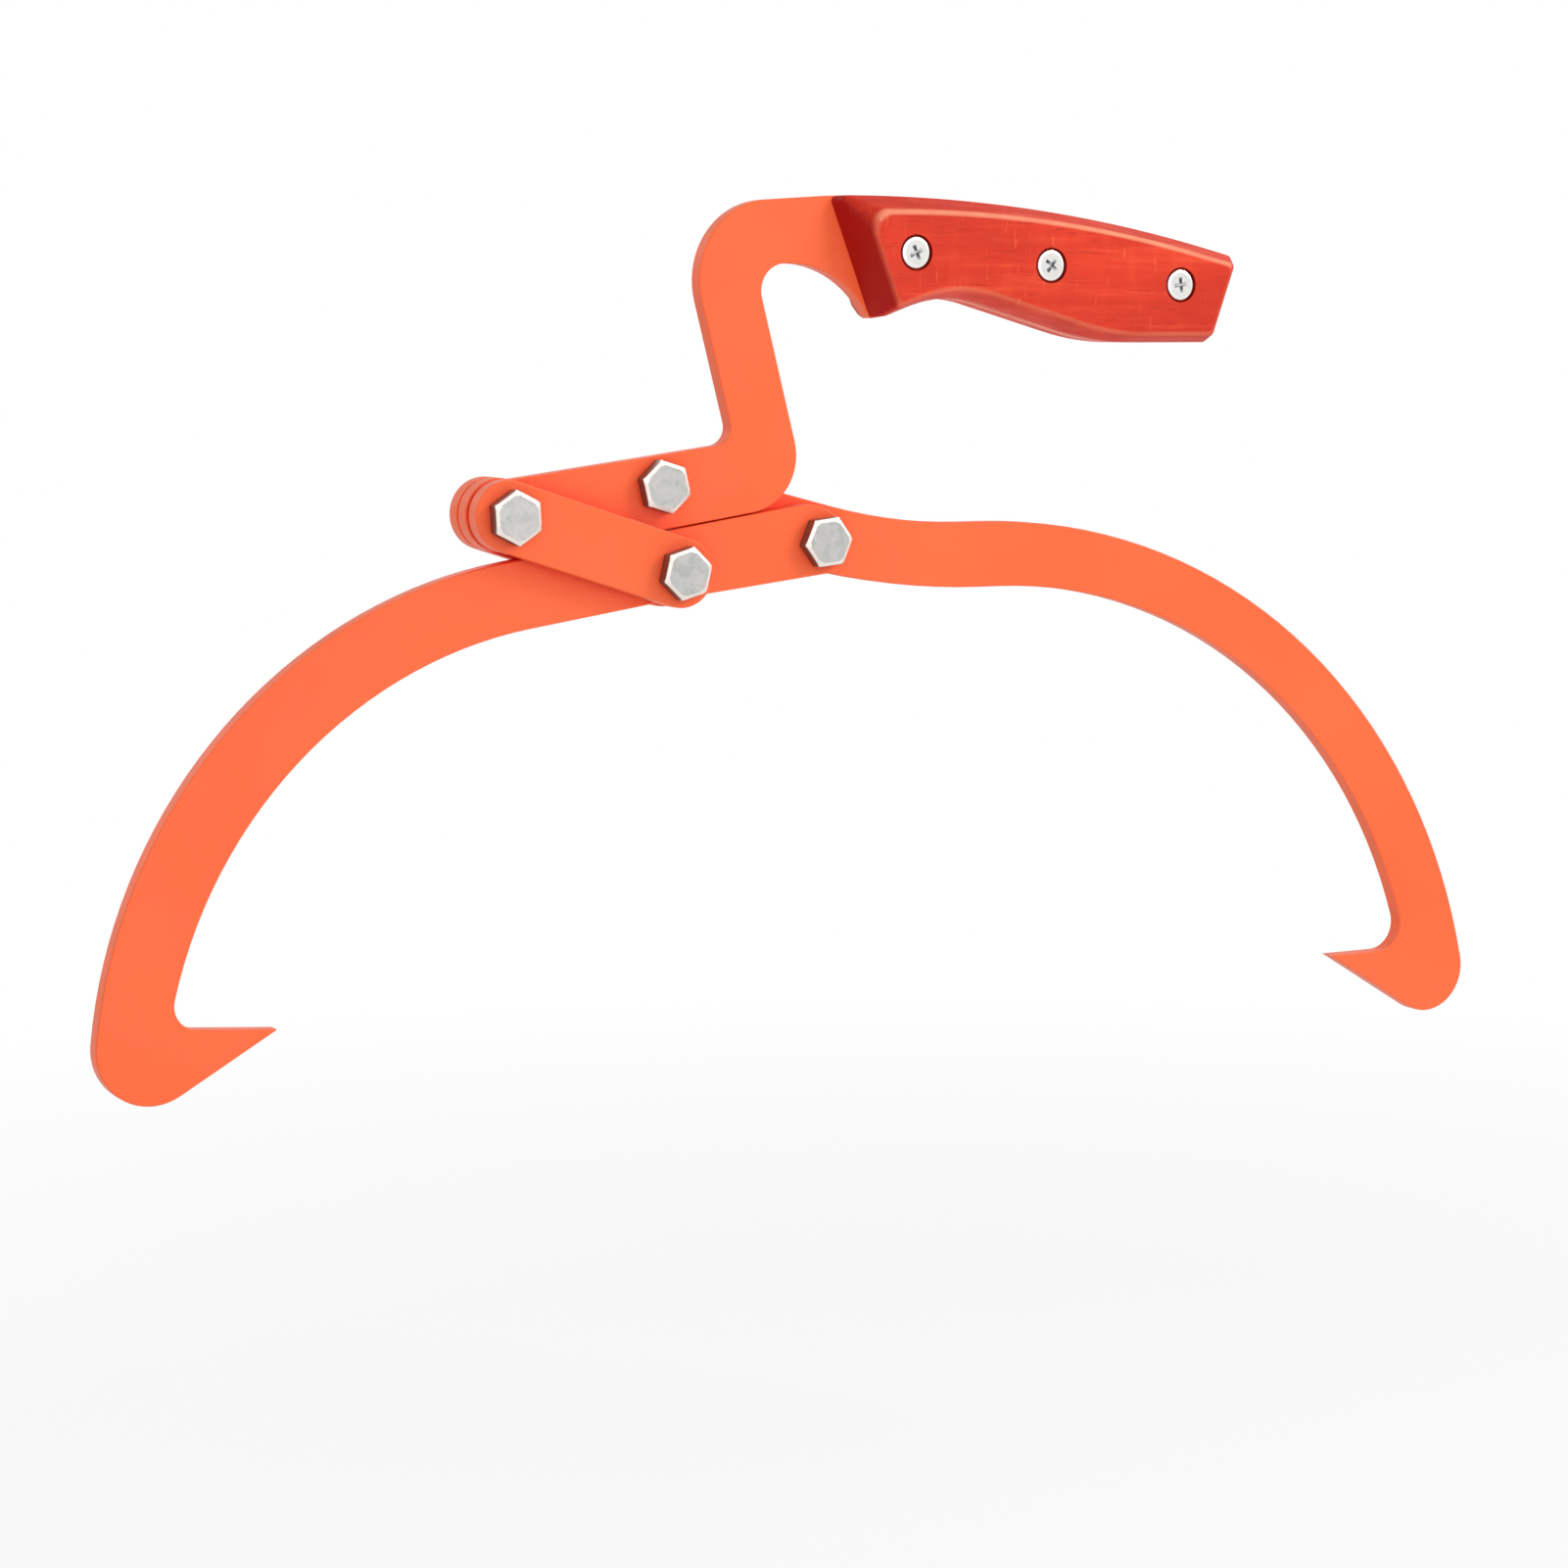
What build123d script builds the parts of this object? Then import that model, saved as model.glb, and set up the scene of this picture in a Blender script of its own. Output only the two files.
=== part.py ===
from build123d import *
import os
from math import acos, atan2, cos, degrees, radians, sin, sqrt, tan

# Log tongs: a handle plate, two jaws and a pair of links on four bolts, which together form a
# parallelogram. Outlines are drawn in the upright plane of the plates, from the main pivot,
# with x to the right and z up. Millimetres and degrees.

# Plates and their spacing
plate_thickness = 5.0
edge_break = 0.3
washer_thickness = 1.2
shim_thickness = 0.4
washer_diameter = 16.0
washer_clearance = 0.2

# Linkage: the two pivots of the handle plate, and the links that hang from them
pivot_spacing = 47.0
pivot_line_angle = 8.5
link_length = 52.3
link_angle = -18.0
rear_link_width = 19.6
rear_link_overhang = 1.5
front_link_overhang = 1.2
link_head_gap = 3.96
link_jaw_gap = 2.15
stop_gap = 0.42

# Handle plate
handle_margin_above = 9.3
handle_top_angle = 7.4
handle_margin_below = 11.75
handle_end_swell = 0.5
handle_end_overhang = 1.3
handle_end_rise = 6.0
handle_end_blend = 6.0
neck_width = 18.2
neck_lean = 14.5
neck_x = 25.3
neck_z = 36.0
neck_root_radius = 5.0
neck_foot_radius = 15.5
shoulder_radius = 22.0
throat_radius = 7.5
finger_arc_radius = 29.0
finger_arc_x = 55.3
finger_arc_z = 60.0
arm_top_slope = 3.9
arm_blend_radius = 60.0

# Grip, seen from the front: corners of its outline, clockwise from the upper front corner
grip_front_top = (51.5, 78.5)
grip_crown = (117.0, 79.0)
grip_end_top = (183.8, 62.5)
grip_end_bottom = (175.0, 38.3)
grip_belly = (137.0, 38.3)
grip_groove = (86.2, 52.6)
grip_guard = (64.4, 44.8)
grip_corner_radius = 1.5
grip_face_front_radius = 6.0
grip_crown_radius = 480.0
grip_heel_radius = 2.0
grip_belly_radius = 80.0
grip_groove_radius = 40.0
scale_thickness = 11.0
scale_wall = 4.0
top_bevel_front = 4.5
top_bevel_end = 3.2
bottom_bevel = 2.0
face_rounding = 1.3
front_rake_angle = 20.0
end_rake_angle = 20.0

# Grip screws and their barrel nuts
screw_places = ((72.9, 63.0), (116.5, 59.8), (160.0, 54.6))
screw_head_diameter = 9.0
screw_head_height = 2.0
screw_diameter = 4.0
screw_length = 14.0
screw_end_gap = 2.5
screw_head_round = 0.6
recess_length = 4.6
recess_width = 1.2
recess_depth = 1.1
post_diameter = 6.0
post_end_gap = 0.5
slot_width = 1.2
slot_depth = 0.8
counterbore_clearance = 0.5
grip_hole_clearance = 0.1
thread_clearance = 0.05

# Left jaw: straight strip over the two lower pivots, then an arc, heel and tooth
left_margin_below = 7.6
left_end_below = 9.1
left_end_reach = 8.2
left_end_upper_radius = 13.5
left_outer_start = 47.4
left_outer_radius = 136.6
left_inner_lead = 3.9
left_arm_thinning = -4.7
left_sweep_angle = 75.3
left_heel_radius = 15.0
left_tooth_reach = 34.2
left_tooth_angle = -5.0
left_tooth_top_angle = 13.2
left_throat_radius = 6.5

# Right jaw: strip over the two right pivots, a crank, then a level arm, arc, heel and tooth
right_end_radius = 7.4
right_margin_above = 10.5
right_arm_drop = 5.2
right_arm_above = 9.1
right_arm_below = 9.5
right_crank_upper_radius = 170.0
right_crank_lower_radius = 230.0
right_outer_start = 55.5
right_outer_radius = 177.4
right_inner_lead = -4.6
right_arm_thinning = 7.2
right_sweep_angle = 77.5
right_heel_radius = 13.2
right_tooth_reach = 37.3
right_tooth_angle = 10.6
right_tooth_top_angle = 0.0
right_throat_radius = 8.0

# Bolts, lock nuts and their nylon rings
bolt_diameter = 8.0
pivot_clearance = 0.1
head_across_flats = 13.0
head_height = 4.2
head_chamfer = 1.7
link_bolt_overhang = 3.3
jaw_bolt_overhang = 1.9
bolt_point = 1.0
chamfer_angle = 30.0
nut_height = 6.5
nut_chamfer = 1.0
nut_collar_height = 1.5
nut_collar_wall = 0.8
nut_collar_round = 0.35
ring_height = 1.4
ring_wall = 1.05
ring_clearance = 0.03
bolt_turn = {"link_handle": 33.0, "handle_jaw": 43.0, "link_jaw": 16.0, "jaw_jaw": 6.0}


def heading(angle):
    return Vector(cos(radians(angle)), sin(radians(angle)))


def left_of(direction):
    return Vector(-direction.Y, direction.X)


def crossing(point_a, along_a, point_b, along_b):
    gap = point_b - point_a
    turn = along_a.X * along_b.Y - along_a.Y * along_b.X
    step = (gap.X * along_b.Y - gap.Y * along_b.X) / turn
    return point_a + along_a * step


def touch(centre, radius, point, side):
    # Where a line from a point meets a circle tangentially, on one side of it
    gap = point - centre
    turn = side * degrees(acos(radius / gap.length))
    return centre + heading(degrees(atan2(gap.Y, gap.X)) + turn) * radius


# Places of the pivots
base_line = heading(pivot_line_angle)
link_line = heading(link_angle)
base_up = left_of(base_line)
link_up = left_of(link_line)
handle_jaw = Vector(0, 0)
link_handle = handle_jaw - base_line * pivot_spacing
jaw_jaw = handle_jaw + link_line * link_length
link_jaw = link_handle + link_line * link_length
opening_angle = radians(pivot_line_angle - link_angle)
row_gap = link_length * sin(opening_angle)
column_gap = pivot_spacing * sin(opening_angle)

# The jaws and links keep clear of their neighbours by named gaps
left_margin_above = row_gap - handle_margin_below - stop_gap
right_margin_below = column_gap - rear_link_width / 2 - link_jaw_gap
head_corner_radius = head_across_flats / sqrt(3)
front_link_width = 2 * (column_gap - head_corner_radius - link_head_gap)

# Depths: the handle plate is centred on y = 0, and the viewer is on the -y side
handle_front = -plate_thickness / 2
handle_back = plate_thickness / 2
link_front = handle_front - washer_thickness - plate_thickness
rear_front = handle_back + shim_thickness
rear_back = rear_front + plate_thickness
scale_outer = handle_back + scale_thickness
nut_back = rear_back + nut_height

# Round fits
pivot_hole_radius = bolt_diameter / 2 + pivot_clearance
nut_bore_radius = bolt_diameter / 2 + thread_clearance
ring_radius = nut_bore_radius + ring_wall
grip_hole_radius = post_diameter / 2 + grip_hole_clearance

# The frame's origin is the middle of the grip, at its middle screw
grip_middle = Vector(*screw_places[1])


def limited_radii(corners, radii):
    # Each corner's rounding is kept within the two edges that meet there
    count = len(corners)
    reach = []
    for i, radius in enumerate(radii):
        before = (corners[i - 1] - corners[i]).normalized()
        after = (corners[(i + 1) % count] - corners[i]).normalized()
        half = acos(max(-1.0, min(1.0, before.dot(after)))) / 2
        reach.append(radius / tan(half))
    kept = []
    for i, radius in enumerate(radii):
        share = 1.0
        for j in (i - 1, (i + 1) % count):
            edge = (corners[j] - corners[i]).length
            share = min(share, 0.98 * edge / max(reach[i] + reach[j], 1e-9))
        kept.append(radius * min(1.0, share))
    return kept


def rounded(corners, radii):
    return FilletPolyline(*corners, radius=limited_radii(corners, radii), close=True)


def bend(start, corner, end, radius):
    radii = limited_radii([start, corner, end], [0, radius, 0])
    return FilletPolyline(start, corner, end, radius=radii[1])


def upright(front_y):
    return Plane(origin=(0, front_y, 0), x_dir=(1, 0, 0), z_dir=(0, -1, 0))


def disc(place, radius, front_y, depth):
    return extrude(upright(front_y) * Pos(place.X, place.Y) * Circle(radius), amount=-depth)


def plate(face, front_y):
    solid = extrude(upright(front_y) * face, amount=-plate_thickness)
    rims = [solid.faces().sort_by(Axis.Y)[end].outer_wire().edges() for end in (0, -1)]
    return chamfer(rims[0] + rims[1], edge_break)


def pivot_holes(*places):
    return [Pos(p.X, p.Y) * Circle(pivot_hole_radius) for p in places]


def grip_holes():
    return [Pos(*place) * Circle(grip_hole_radius) for place in screw_places]


grip_radii = [grip_corner_radius, grip_crown_radius, grip_corner_radius, grip_heel_radius,
              grip_belly_radius, grip_groove_radius, grip_corner_radius]


def grip_corners(front=0.0, end=0.0, top_front=0.0, top_end=0.0, bottom=0.0):
    # Corners of the grip with each side moved inwards, the top by an amount that changes along it
    points = [Vector(*p) for p in (grip_front_top, grip_crown, grip_end_top, grip_end_bottom,
                                   grip_belly, grip_groove, grip_guard)]
    top_middle = (top_front + top_end) / 2
    insets = [(top_front, top_middle), (top_middle, top_end), (end, end), (bottom, bottom),
              (bottom, bottom), (bottom, bottom), (front, front)]
    lines = []
    for i, (inset_here, inset_next) in enumerate(insets):
        here = points[i]
        further = points[(i + 1) % len(points)]
        inward = left_of(here - further).normalized()
        start = here + inward * inset_here
        lines.append((start, further + inward * inset_next - start))
    return [crossing(*lines[i - 1], *lines[i]) for i in range(len(points))]


def handle_plate():
    end_radius = handle_margin_above + handle_end_swell
    end_middle = link_handle - link_line * handle_end_overhang
    top_line = heading(handle_top_angle)
    up_edge = link_handle + left_of(top_line) * handle_margin_above
    low_edge = link_handle - base_up * handle_margin_below + base_line * handle_end_rise
    neck_axis = heading(90 + neck_lean)
    neck_middle = Vector(neck_x, neck_z)
    neck_left = neck_middle + left_of(neck_axis) * (neck_width / 2)
    neck_right = neck_middle - left_of(neck_axis) * (neck_width / 2)
    tang = grip_corners()
    finger = Vector(finger_arc_x, finger_arc_z)
    corners = [
        up_edge,
        crossing(up_edge, top_line, neck_left, neck_axis),
        crossing(neck_left, neck_axis, tang[0], heading(arm_top_slope)),
        *tang,
        finger,
        crossing(finger, Vector(1, 0), neck_right, neck_axis),
        crossing(neck_right, neck_axis, low_edge, base_line),
        low_edge,
        touch(end_middle, end_radius, low_edge, -1),
    ]
    radii = [0, neck_root_radius, shoulder_radius, arm_blend_radius, *grip_radii[1:],
             finger_arc_radius, throat_radius, neck_foot_radius, handle_end_blend, 0]
    face = make_face(rounded(corners, radii)) + Pos(end_middle.X, end_middle.Y) * Circle(end_radius)
    to_middle = end_middle - up_edge
    half_chord = sqrt(end_radius**2 - to_middle.dot(left_of(top_line)) ** 2)
    notch = up_edge + top_line * (to_middle.dot(top_line) + half_chord)
    face = fillet(face.vertices().sort_by_distance(notch)[0], handle_end_blend)
    return plate(face - pivot_holes(link_handle, handle_jaw) - grip_holes(), handle_front)


def scale_section(depth, radii, further=0.0):
    bevelled = max(depth - scale_wall, 0.0) / (scale_thickness - scale_wall)
    insets = [depth * tan(radians(front_rake_angle)), depth * tan(radians(end_rake_angle)),
              top_bevel_front * bevelled, top_bevel_end * bevelled, bottom_bevel * bevelled]
    corners = grip_corners(*[inset + further for inset in insets])
    return upright(handle_front - depth) * make_face(rounded(corners, radii))


def scale():
    # Outlines from the plate outwards: a plain wall, the bevels, then the rounding into the flat face
    face_radii = [grip_face_front_radius, *grip_radii[1:]]
    sections = [scale_section(0.0, grip_radii), scale_section(scale_wall, grip_radii)]
    for angle in (0, 30, 60, 90):
        depth = scale_thickness - face_rounding * (1 - sin(radians(angle)))
        sections.append(scale_section(depth, face_radii, face_rounding * (1 - cos(radians(angle)))))
    body = loft(sections, ruled=True)
    head_seat_radius = screw_head_diameter / 2 + counterbore_clearance
    for place in screw_places:
        spot = Vector(*place)
        body = body - disc(spot, head_seat_radius, -scale_outer, screw_head_height)
        body = body - disc(spot, grip_hole_radius, -scale_outer, scale_thickness)
    return body


def grip_screw(place):
    spot = Vector(*place)
    head = disc(spot, screw_head_diameter / 2, -scale_outer, screw_head_height)
    head = fillet(head.faces().sort_by(Axis.Y)[0].edges(), screw_head_round)
    bars = [Rectangle(recess_length, recess_width), Rectangle(recess_width, recess_length)]
    for bar in bars:
        head = head - extrude(upright(-scale_outer) * Pos(*place) * bar, amount=-recess_depth)
    return head + disc(spot, screw_diameter / 2, -scale_outer + screw_head_height, screw_length)


def grip_post(place):
    spot = Vector(*place)
    under_head = scale_outer - screw_head_height
    barrel_front = -scale_outer + screw_head_height + post_end_gap
    head = disc(spot, screw_head_diameter / 2, under_head, screw_head_height)
    head = fillet(head.faces().sort_by(Axis.Y)[-1].edges(), screw_head_round)
    slot = Pos(*place) * Rectangle(screw_head_diameter, slot_width)
    head = head - extrude(upright(scale_outer - slot_depth) * slot, amount=-slot_depth)
    barrel = disc(spot, post_diameter / 2, barrel_front, under_head - barrel_front)
    bore_depth = screw_length - post_end_gap + screw_end_gap
    bore = disc(spot, screw_diameter / 2 + thread_clearance, barrel_front, bore_depth)
    return head + barrel - bore


def hook(place, above, below, outer_start, outer_radius, lead, thinning, heel_radius, sweep, tooth, throat):
    # Edges from the upper side of a straight arm, round the arc, heel and tooth, to its lower side.
    # Worked out with u along the arm and v up; place turns (u, v) into a point of the plates' plane.
    inner_start = outer_start - lead
    inner_radius = outer_radius - above - below - thinning
    reach, rise, top_tilt = tooth
    outer_middle = Vector(outer_start, above - outer_radius)
    inner_middle = Vector(inner_start, -below - inner_radius)
    heel = outer_middle + heading(90 - sweep) * (outer_radius - heel_radius)
    tip = heel - heading(-rise) * reach
    under_angle = degrees(acos(heel_radius / reach)) - rise - 180
    under = heel + heading(under_angle) * heel_radius
    top_line = heading(top_tilt)
    top_up = left_of(top_line)
    from_inner = tip + top_up * throat - inner_middle
    lean = from_inner.dot(top_line)
    step = -lean + sqrt(lean**2 - from_inner.dot(from_inner) + (inner_radius - throat) ** 2)
    throat_middle = tip + top_up * throat + top_line * step
    outward = (throat_middle - inner_middle).normalized()
    throat_side = inner_middle + outward * inner_radius
    throat_mid = throat_middle + (outward - top_up).normalized() * throat
    inner_half = (90 + degrees(atan2(outward.Y, outward.X))) / 2

    def arc(start, middle, end):
        return ThreePointArc(place(start), place(middle), place(end))

    def on(centre, angle, radius):
        return centre + heading(angle) * radius

    outer_top = Vector(outer_start, above)
    outer_end = on(outer_middle, 90 - sweep, outer_radius)
    inner_top = Vector(inner_start, -below)
    throat_foot = throat_middle - top_up * throat
    return [
        arc(outer_top, on(outer_middle, 90 - sweep / 2, outer_radius), outer_end),
        arc(outer_end, on(heel, (90 - sweep + under_angle) / 2, heel_radius), under),
        Line(place(under), place(tip)),
        Line(place(tip), place(throat_foot)),
        arc(throat_foot, throat_mid, throat_side),
        arc(throat_side, on(inner_middle, inner_half, inner_radius), inner_top),
    ]


def left_jaw():
    def place(p):
        return link_jaw - base_line * p.X + base_up * p.Y

    above = left_margin_above
    below = left_margin_below
    end_lower_radius = left_end_below + above - left_end_upper_radius
    end_tip = Vector(-pivot_spacing - left_end_reach, above - left_end_upper_radius)
    upper_middle = end_tip + Vector(left_end_upper_radius, 0)
    lower_middle = end_tip + Vector(end_lower_radius, 0)
    upper_round = upper_middle + heading(135) * left_end_upper_radius
    lower_round = lower_middle + heading(225) * end_lower_radius
    end_upper = upper_middle + Vector(0, left_end_upper_radius)
    end_lower = lower_middle - Vector(0, end_lower_radius)
    side_lower = Vector(0, -below)
    tooth = (left_tooth_reach, left_tooth_angle, left_tooth_top_angle)
    edges = hook(place, above, below, left_outer_start, left_outer_radius, left_inner_lead,
                 left_arm_thinning, left_heel_radius, left_sweep_angle, tooth, left_throat_radius)
    edges += [
        Line(place(Vector(left_outer_start - left_inner_lead, -below)), place(side_lower)),
        Line(place(side_lower), place(end_lower)),
        ThreePointArc(place(end_lower), place(lower_round), place(end_tip)),
        ThreePointArc(place(end_tip), place(upper_round), place(end_upper)),
        Line(place(end_upper), place(Vector(left_outer_start, above))),
    ]
    return plate(make_face(edges) - pivot_holes(link_jaw, jaw_jaw), handle_front)


def right_jaw():
    arm = jaw_jaw - Vector(0, right_arm_drop)

    def place(p):
        return arm + p

    level = Vector(1, 0)
    side_upper = jaw_jaw + link_up * right_margin_above
    side_lower = jaw_jaw - link_up * right_margin_below
    strip_upper = touch(handle_jaw, right_end_radius, side_upper, 1)
    strip_lower = touch(handle_jaw, right_end_radius, side_lower, -1)
    end_round = handle_jaw - link_line * right_end_radius
    arm_upper = place(Vector(right_outer_start, right_arm_above))
    arm_lower = place(Vector(right_outer_start - right_inner_lead, -right_arm_below))
    crank_upper = crossing(strip_upper, side_upper - strip_upper, arm_upper, level)
    crank_lower = crossing(strip_lower, side_lower - strip_lower, arm_lower, level)
    tooth = (right_tooth_reach, right_tooth_angle, right_tooth_top_angle)
    edges = hook(place, right_arm_above, right_arm_below, right_outer_start, right_outer_radius,
                 right_inner_lead, right_arm_thinning, right_heel_radius, right_sweep_angle, tooth,
                 right_throat_radius)
    edges += [
        bend(arm_lower, crank_lower, strip_lower, right_crank_lower_radius),
        ThreePointArc(strip_lower, end_round, strip_upper),
        bend(strip_upper, crank_upper, arm_upper, right_crank_upper_radius),
    ]
    return plate(make_face(edges) - pivot_holes(handle_jaw, jaw_jaw), rear_front)


def link(width, overhang, front_y):
    # The overhang is how much longer the end at the handle is than a half circle round its pivot
    middle = (link_handle + link_jaw - link_line * overhang) * 0.5
    slot = SlotCenterToCenter(link_length + overhang, width)
    face = Pos(middle.X, middle.Y) * Rot(0, 0, link_angle) * slot
    return plate(face - pivot_holes(link_handle, link_jaw), front_y)


def hexagon(place, turn, front_y, depth):
    shape = RegularPolygon(head_across_flats / 2, 6, major_radius=False, rotation=turn)
    return extrude(upright(front_y) * Pos(place.X, place.Y) * shape, amount=-depth)


def turned_corners(place, front_y, depth, ends, width):
    blank = disc(place, head_corner_radius, front_y, depth)
    rims = [blank.faces().sort_by(Axis.Y)[end].edges()[0] for end in ends]
    return chamfer(rims, width * tan(radians(chamfer_angle)), width)


def bolt(name, place, seat, overhang):
    head = hexagon(place, bolt_turn[name], seat - head_height, head_height)
    head = head & turned_corners(place, seat - head_height, head_height, (0,), head_chamfer)
    shank = disc(place, bolt_diameter / 2, seat, nut_back + overhang - seat)
    shank = chamfer(shank.faces().sort_by(Axis.Y)[-1].edges(), bolt_point)
    return head + shank


def washer(place, front_y, thickness):
    hole = disc(place, bolt_diameter / 2 + washer_clearance, front_y, thickness)
    return disc(place, washer_diameter / 2, front_y, thickness) - hole


def nut(name, place):
    hex_height = nut_height - nut_collar_height
    body = hexagon(place, bolt_turn[name], rear_back, hex_height)
    body = body & turned_corners(place, rear_back, hex_height, (0, -1), nut_chamfer)
    ring_seat_radius = ring_radius + ring_clearance
    collar = disc(place, ring_seat_radius + nut_collar_wall, rear_back + hex_height, nut_collar_height)
    collar = fillet(collar.faces().sort_by(Axis.Y)[-1].edges(), nut_collar_round)
    body = body + collar - disc(place, nut_bore_radius, rear_back, nut_height)
    return body - disc(place, ring_seat_radius, nut_back - ring_height, ring_height)


def nut_ring(place):
    ring = disc(place, ring_radius, nut_back - ring_height, ring_height)
    return ring - disc(place, nut_bore_radius, nut_back - ring_height, ring_height)


def model():
    nodes = {
        "handle_plate": handle_plate(),
        "left_jaw": left_jaw(),
        "right_jaw": right_jaw(),
        "front_link": link(front_link_width, front_link_overhang, link_front),
        "rear_link": link(rear_link_width, rear_link_overhang, rear_front),
        "front_grip_scale": scale(),
        "rear_grip_scale": mirror(scale(), Plane.XZ),
    }
    for i, place in enumerate(screw_places, start=1):
        nodes[f"grip_screw_{i}"] = grip_screw(place)
        nodes[f"grip_post_{i}"] = grip_post(place)
    stacks = {
        "link_handle": (link_handle, link_front, link_bolt_overhang),
        "handle_jaw": (handle_jaw, handle_front, jaw_bolt_overhang),
        "link_jaw": (link_jaw, link_front, link_bolt_overhang),
        "jaw_jaw": (jaw_jaw, handle_front, jaw_bolt_overhang),
    }
    for name, (place, seat, overhang) in stacks.items():
        nodes[f"{name}_bolt"] = bolt(name, place, seat, overhang)
        nodes[f"{name}_nut"] = nut(name, place)
        nodes[f"{name}_nut_ring"] = nut_ring(place)
        nodes[f"{name}_rear_spacer"] = washer(place, handle_back, shim_thickness)
        if seat == link_front:
            washer_front = handle_front - washer_thickness
            nodes[f"{name}_front_spacer"] = washer(place, washer_front, washer_thickness)
    return nodes


os.makedirs("parts", exist_ok=True)
to_origin = Pos(-grip_middle.X, 0, -grip_middle.Y)
for node, shape in model().items():
    export_step(to_origin * shape, f"parts/{node}.step")
for label, place in (("link_handle", link_handle), ("handle_jaw", handle_jaw), ("link_jaw", link_jaw),
                     ("jaw_jaw", jaw_jaw)):
    at = place - grip_middle
    print(f"{label} pivot at x {at.X:.3f}, z {at.Y:.3f}")
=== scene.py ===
import math
import bmesh
import bpy
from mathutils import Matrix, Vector


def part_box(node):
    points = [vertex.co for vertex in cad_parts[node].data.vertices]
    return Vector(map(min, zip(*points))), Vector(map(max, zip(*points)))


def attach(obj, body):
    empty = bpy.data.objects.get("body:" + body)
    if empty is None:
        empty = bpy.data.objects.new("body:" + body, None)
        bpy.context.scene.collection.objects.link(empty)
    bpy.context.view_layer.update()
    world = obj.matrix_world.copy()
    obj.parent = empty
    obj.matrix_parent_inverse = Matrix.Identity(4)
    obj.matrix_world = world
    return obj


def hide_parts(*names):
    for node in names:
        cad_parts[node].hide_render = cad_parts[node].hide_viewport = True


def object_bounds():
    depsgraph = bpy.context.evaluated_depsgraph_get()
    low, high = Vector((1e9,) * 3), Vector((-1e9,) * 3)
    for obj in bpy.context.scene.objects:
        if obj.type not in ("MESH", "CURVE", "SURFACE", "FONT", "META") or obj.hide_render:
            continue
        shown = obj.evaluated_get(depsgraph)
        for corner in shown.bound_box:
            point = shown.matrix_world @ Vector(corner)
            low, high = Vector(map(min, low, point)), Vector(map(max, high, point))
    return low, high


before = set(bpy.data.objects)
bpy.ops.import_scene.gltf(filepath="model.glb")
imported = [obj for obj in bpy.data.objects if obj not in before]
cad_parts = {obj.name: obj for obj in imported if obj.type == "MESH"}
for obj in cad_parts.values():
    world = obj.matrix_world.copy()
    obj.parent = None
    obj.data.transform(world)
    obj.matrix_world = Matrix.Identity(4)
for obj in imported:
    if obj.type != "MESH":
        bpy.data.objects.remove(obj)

cadLow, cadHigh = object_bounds()  # the CAD box, before anything is dressed
scene = bpy.context.scene
mm = 0.001
print("frame loaded:", len(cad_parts), "nodes")


# node helpers, for materials and for grown shapes

def feed(tree, node, inputs):
    # a socket is linked, a plain value is set
    for key, value in inputs.items():
        if isinstance(value, bpy.types.NodeSocket):
            tree.links.new(value, node.inputs[key])
        else:
            node.inputs[key].default_value = value


def addNode(tree, kind, inputs=None, **settings):
    node = tree.nodes.new(kind)
    for key, value in settings.items():
        setattr(node, key, value)
    feed(tree, node, inputs or {})
    return node


def mathNode(tree, operation, *values):
    return addNode(tree, "ShaderNodeMath", dict(enumerate(values)), operation=operation).outputs[0]


def times(tree, value, factor):
    return mathNode(tree, "MULTIPLY", value, factor)


# shader helpers: a noise is (scale, detail, roughness, distortion), a band is two stops of (place, level)
firstColour, secondColour, mixedColour = 6, 7, 2  # the colour sockets of a Mix node


def startMaterial(name):
    material = bpy.data.materials.new(name)
    material.use_nodes = True
    tree = material.node_tree
    return material, tree, tree.nodes["Principled BSDF"]


def opaque(colour):
    # a written colour gets its alpha, a socket is left as it is
    return (*colour, 1.0) if isinstance(colour, tuple) else colour


def mixColour(tree, amount, first, second):
    inputs = {0: amount, firstColour: opaque(first), secondColour: opaque(second)}
    return addNode(tree, "ShaderNodeMix", inputs, data_type="RGBA").outputs[mixedColour]


def rampNode(tree, source, band):
    node = addNode(tree, "ShaderNodeValToRGB", {"Fac": source})
    for element, (place, level) in zip(node.color_ramp.elements, band):
        element.position = place
        element.color = (level, level, level, 1.0)
    return node.outputs["Color"]


def objectPlace(tree, stretch=(1, 1, 1), turn=(0, 0, 0)):
    coords = addNode(tree, "ShaderNodeTexCoord")
    inputs = {"Vector": coords.outputs["Object"], "Rotation": turn, "Scale": stretch}
    return addNode(tree, "ShaderNodeMapping", inputs).outputs["Vector"]


def noiseNode(tree, place, scale, detail, roughness=0.5, distortion=0.0):
    inputs = {
        "Vector": place,
        "Scale": scale,
        "Detail": detail,
        "Roughness": roughness,
        "Distortion": distortion,
    }
    return addNode(tree, "ShaderNodeTexNoise", inputs).outputs["Fac"]


def mottle(tree, place, look, name):
    # the noise of that name, cut to its band
    return rampNode(tree, noiseNode(tree, place, *look[name + "Noise"]), look[name + "Band"])


def paintedValue(tree, name):
    return addNode(tree, "ShaderNodeAttribute", attribute_name=name).outputs["Fac"]


def openness(tree, reach):
    # 1 on open surfaces, less where another surface is within reach
    return addNode(tree, "ShaderNodeAmbientOcclusion", {"Distance": reach}).outputs["AO"]


def bumpNode(tree, height, strength, depth):
    inputs = {"Height": height, "Strength": strength, "Distance": depth}
    return addNode(tree, "ShaderNodeBump", inputs).outputs["Normal"]


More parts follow.
